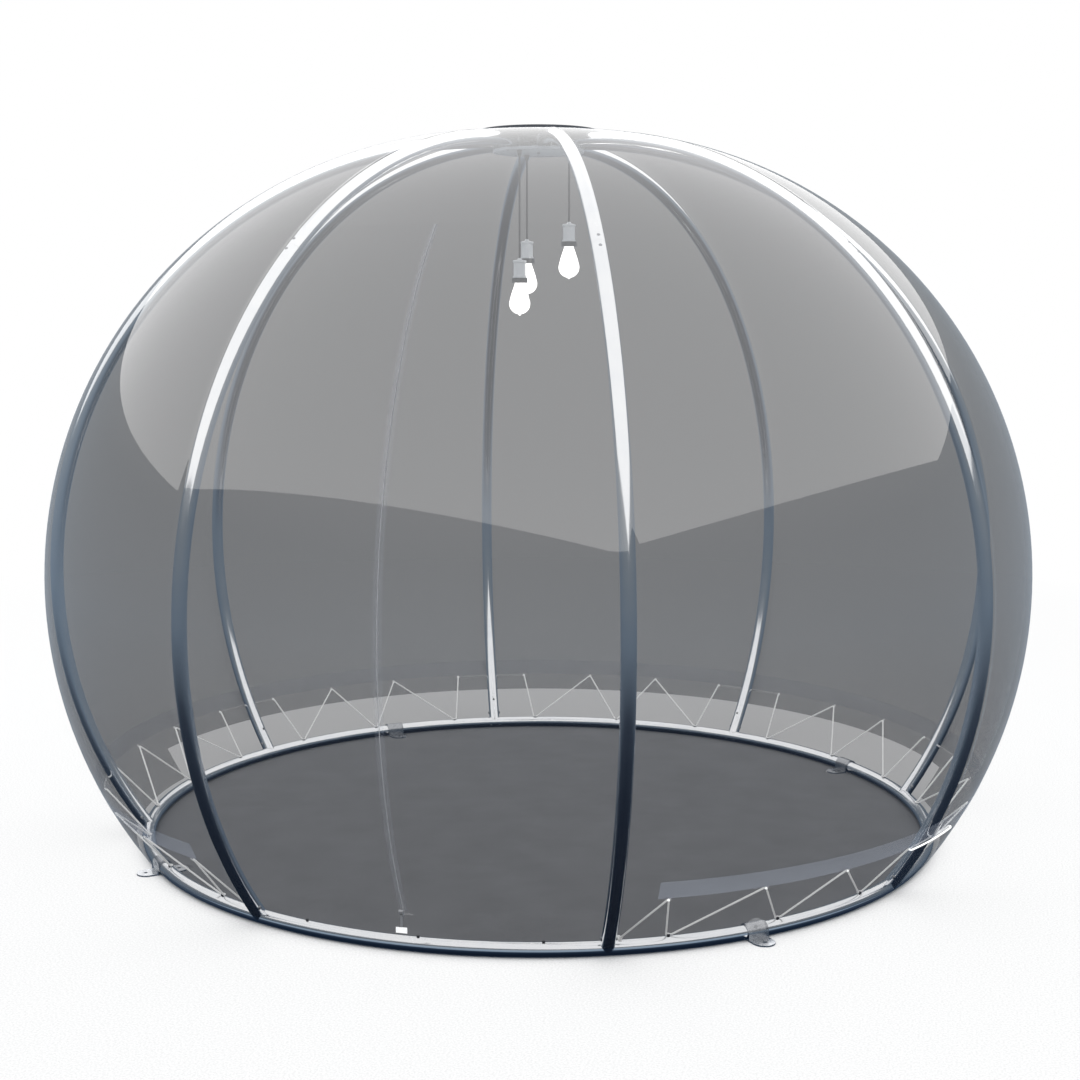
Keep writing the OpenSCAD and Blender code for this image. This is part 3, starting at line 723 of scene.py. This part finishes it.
STUD_R = 4 * MM
STUD_TURN = 3 * MM                      # half the straight run of the cord behind a stud
CORNER_R = 9 * MM
INSIDE_FILM = FILM_R - FILM_T - LACE_R - 0.5 * MM
OUTSIDE_FILM = FILM_R + LACE_R + 0.8 * MM
RIB_CROSSING = (1.5, 1.75, 2, 2.25, 2.5)    # in TOP_PITCH from a panel's middle, across the rib
FOOT_SCREW = 40 * MM                    # along a rib, from its foot to its cross screw
SCREW_REACH = TUBE_R + 9 * MM           # from the rib's middle to the knot on that screw
KNOT_SIZE, KNOT_DEPTH = 7 * MM, 1.4     # half its width, and its depth as a share of that
KNOT_STEPS = 40


def stud_loop(az):
    """Four points that take the cord round the inner side of a stud on top of the ring."""
    out, side = level_axes(az)
    centre = out * RING_R + Vector((0, 0, 2 * TUBE_R + LACE_R + 0.6 * MM))
    reach = STUD_R + LACE_R + 0.4 * MM
    return [centre - side * reach, centre - out * reach - side * STUD_TURN,
            centre - out * reach + side * STUD_TURN, centre + side * reach]


def hole_point(az, rho=INSIDE_FILM):
    return on_arc(rho, LACE_ANGLE, az)


def cross_screw(az, side):
    """Beside the head of the cross screw at a rib's foot."""
    foot = -math.degrees(math.asin((RIB_Z - TUBE_R) / RIB_R))
    up = math.degrees(FOOT_SCREW / RIB_R)
    return on_arc(RIB_R, foot + up, az) + level_axes(az)[1] * side * SCREW_REACH


def lacing_route():
    """Hole, stud, hole across each panel, and outside the film from panel to panel."""
    route = [cross_screw(FIRST_RIB, 1)]
    for c in LACED_PANELS:
        for n, stud in zip(HOLE_STEPS, (-1, 0, 1, None)):
            route.append(hole_point(c + n * TOP_PITCH))
            if stud is not None:
                route += stud_loop(c + stud * STUD_PITCH)
        if c != LACED_PANELS[-1]:
            route += [hole_point(c + n * TOP_PITCH, OUTSIDE_FILM) for n in RIB_CROSSING]
    return route + [cross_screw(rib_az(2), -1)]


def knot(centre, az):
    """An overhand knot drawn up small, as a closed-looking three-lobed loop."""
    points = []
    out, side = level_axes(az)
    up = Vector((0, 0, 1))
    for k in range(KNOT_STEPS + 1):
        t = 2 * math.pi * k / KNOT_STEPS
        x = (math.sin(t) + 2 * math.sin(2 * t)) / 3
        y = (math.cos(t) - 2 * math.cos(2 * t)) / 3
        z = -math.sin(3 * t) / 3
        points.append(centre + side * x * KNOT_SIZE + up * y * KNOT_SIZE + out * z * KNOT_SIZE * KNOT_DEPTH)
    return points


def make_lacing():
    cord = swept("lacing_braid", rounded(lacing_route(), CORNER_R), LACE_R, 12, "lacing_cord")
    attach(cord, "root")
    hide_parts("lacing_cord")
    for n, (az, side) in enumerate(((FIRST_RIB, 1), (rib_az(2), -1)), 1):
        route = knot(cross_screw(az, side), az)
        tied = swept(f"lacing_knot_{n}", route, LACE_R * 0.9, 10, "lacing_cord")
        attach(tied, "root")


make_lacing()

# ---------------------------------------------------------------- the groundsheet

SHEET_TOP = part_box("groundsheet")[1].z
SHEET_R = RING_R - math.sqrt(TUBE_R ** 2 - (TUBE_R - SHEET_TOP) ** 2) - 0.3 * MM
SHEET_SHARES = [0.0] + [k / 40 for k in range(2, 40)] + [0.985, 1.0]    # of the way to the edge
SHEET_COLUMN = 1.5                      # degrees
CLOTH_T = 0.5 * MM
LOWEST = 0.6 * MM                       # the cloth's upper face is nowhere below this
NOTCH_R = 34 * MM                       # cut back round a bracket's inner foot
NOTCH_CENTRE = RING_R - TUBE_R - 25 * MM    # from the dome's axis
FEET = [ANCHOR_AZ + 90 * k for k in range(4)]
WAVES = 14
WAVE_LONG = 2.4                         # a wave's length in metres, times its order
WAVE_LIFT, WAVE_HALF = 0.55 * MM, 0.5 * MM
WAVES_END = 1.13                        # the cloth lies flat outside this radius


def sheet_columns():
    """Azimuths round the sheet, closer together at the notches."""
    notch = math.degrees(NOTCH_R / NOTCH_CENTRE)
    close = {round((f + notch * s * k / 8) % 360, 4) for f in FEET for s in (-1, 1) for k in range(11)}
    return sorted({round(a * SHEET_COLUMN, 4) for a in range(round(360 / SHEET_COLUMN))} | close)


def sheet_reach(az):
    """From the middle to the sheet's edge."""
    off = min(abs((az - f + 180) % 360 - 180) for f in FEET)
    y = NOTCH_CENTRE * math.radians(off)
    return NOTCH_CENTRE - math.sqrt(NOTCH_R ** 2 - y ** 2) if y < NOTCH_R else SHEET_R


def make_groundsheet():
    """A round sheet with shallow waves, laid inside the ring and cut back round the brackets."""
    rng = np.random.default_rng(7)
    waves = [(rng.uniform(1.5, 7), rng.uniform(0, 2 * math.pi), rng.uniform(0, 2 * math.pi))
             for _ in range(WAVES)]

    def height(x, y):
        total = sum(math.sin(2 * math.pi * k / WAVE_LONG * (x * math.cos(d) + y * math.sin(d)) + p) / k
                    for k, d, p in waves)
        fade = max(0.0, 1 - (math.hypot(x, y) / WAVES_END) ** 6)
        return SHEET_TOP + (WAVE_LIFT + WAVE_HALF * total) * fade

    columns = sheet_columns()
    points, wide = [], len(columns)
    for s in SHEET_SHARES:
        for az in columns:
            r, a = s * sheet_reach(az), math.radians(az)
            x, y = r * math.cos(a), r * math.sin(a)
            points.append(Vector((x, y, max(height(x, y), LOWEST))))
    faces = [ring_face(i, j, wide) for i in range(1, len(SHEET_SHARES) - 1) for j in range(wide)]
    centre = len(points)
    points.append(Vector((0, 0, height(0, 0))))
    faces += [(centre, wide + (j + 1) % wide, wide + j) for j in range(wide)]
    points, faces = without_spares(points, [tuple(reversed(f)) for f in faces])
    sheet = mesh_object("groundsheet_cloth", points, faces, "groundsheet")
    sheet.modifiers.new("cloth thickness", "SOLIDIFY").thickness = CLOTH_T
    sheet.visible_glossy = False
    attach(sheet, "root")
    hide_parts("groundsheet")


make_groundsheet()

# ---------------------------------------------------------------- finishes of the CAD nodes

for part in frame["record"]["subparts"]:
    node = NODES[part["node"]]
    for socket in node.material_slots:
        socket.material = MATERIALS[part["material_slot"]]

# ---------------------------------------------------------------- floor, light and sky

FLOOR_HALF = 30
FLOOR_FADE = 12.0                       # the floor's white begins and ends at shares of this
SOFTBOX_NEAR, SOFTBOX_RIGHT, SOFTBOX_LEFT = (6.41, -11.5, 4), (10.28, 4.74, 4), (-11.07, -3.96, 4)
SKY = [(0.0, (0.006, 0.01, 0.02)), (0.16, (0.009, 0.018, 0.036)), (0.29, (0.038, 0.055, 0.085)),
       (0.43, (0.235, 0.305, 0.39)), (0.6, (0.33, 0.38, 0.43)), (0.75, (0.7, 0.72, 0.75))]


def make_floor():
    """A matt floor that turns into the white of the backdrop further off."""
    mesh = bpy.data.meshes.new("floor")
    h = FLOOR_HALF
    mesh.from_pydata([(-h, -h, 0), (h, -h, 0), (h, h, 0), (-h, h, 0)], [], [(0, 1, 2, 3)])
    m = Nodes("floor", (0.5, 0.5, 0.5), 0.95, Specular_IOR_Level=0.0)
    where = m.coords()
    speck = m.noise(where, 190, detail=4, rough=0.7)
    m.feed(m.ramp(speck, [(0.3, 0.44), (0.7, 0.6)]), "Base Color")
    far = m.new("ShaderNodeVectorMath", operation="LENGTH")
    m.link(where, far.inputs[0])
    white = m.new("ShaderNodeEmission", Strength=1.0)
    mix = m.new("ShaderNodeMixShader")
    share = m.math("DIVIDE", far.outputs["Value"], FLOOR_FADE)
    m.link(m.ramp(share, [(0.18, 0.0), (0.5, 1.0)]), mix.inputs["Fac"])
    m.link(m.bsdf.outputs[0], mix.inputs[1])
    m.link(white.outputs[0], mix.inputs[2])
    m.link(mix.outputs[0], m.tree.nodes["Material Output"].inputs["Surface"])
    mesh.materials.append(m.mat)
    floor = add_object("floor", mesh)
    floor.visible_glossy = False


def make_softbox():
    """A large square panel of light overhead, which the film and the tubes mirror."""
    near, right, left = Vector(SOFTBOX_NEAR), Vector(SOFTBOX_RIGHT), Vector(SOFTBOX_LEFT)
    mesh = bpy.data.meshes.new("softbox")
    mesh.from_pydata([near, right, right + left - near, left], [], [(3, 2, 1, 0)])
    mat = bpy.data.materials.new("softbox")
    mat.use_nodes = True
    tree = mat.node_tree
    tree.nodes.clear()
    light = tree.nodes.new("ShaderNodeEmission")
    light.inputs["Strength"].default_value = 2.2
    out = tree.nodes.new("ShaderNodeOutputMaterial")
    tree.links.new(light.outputs[0], out.inputs["Surface"])
    mesh.materials.append(mat)
    panel = add_object("softbox", mesh)
    panel.visible_camera = False


def make_world():
    """A white backdrop for the eye; tubes and film mirror a sky that is dark navy below the level."""
    world = bpy.data.worlds.new("studio")
    bpy.context.scene.world = world
    world.use_nodes = True
    tree = world.node_tree
    tree.nodes.clear()
    coords = tree.nodes.new("ShaderNodeTexCoord")
    split = tree.nodes.new("ShaderNodeSeparateXYZ")
    tree.links.new(coords.outputs["Generated"], split.inputs[0])
    shift = tree.nodes.new("ShaderNodeMath")
    shift.operation = "MULTIPLY_ADD"
    shift.inputs[1].default_value = 0.5
    shift.inputs[2].default_value = 0.5
    tree.links.new(split.outputs["Z"], shift.inputs[0])
    sky = tree.nodes.new("ShaderNodeValToRGB")
    fill_ramp(sky.color_ramp, SKY)
    tree.links.new(shift.outputs[0], sky.inputs["Fac"])
    mirrored = tree.nodes.new("ShaderNodeBackground")
    seen = tree.nodes.new("ShaderNodeBackground")
    tree.links.new(sky.outputs["Color"], mirrored.inputs["Color"])
    seen.inputs["Color"].default_value = (1, 1, 1, 1)
    path = tree.nodes.new("ShaderNodeLightPath")
    mix = tree.nodes.new("ShaderNodeMixShader")
    tree.links.new(path.outputs["Is Camera Ray"], mix.inputs["Fac"])
    tree.links.new(mirrored.outputs[0], mix.inputs[1])
    tree.links.new(seen.outputs[0], mix.inputs[2])
    out = tree.nodes.new("ShaderNodeOutputWorld")
    tree.links.new(mix.outputs[0], out.inputs["Surface"])


make_floor()
make_softbox()
make_world()
bpy.context.scene.view_settings.view_transform = "Standard"
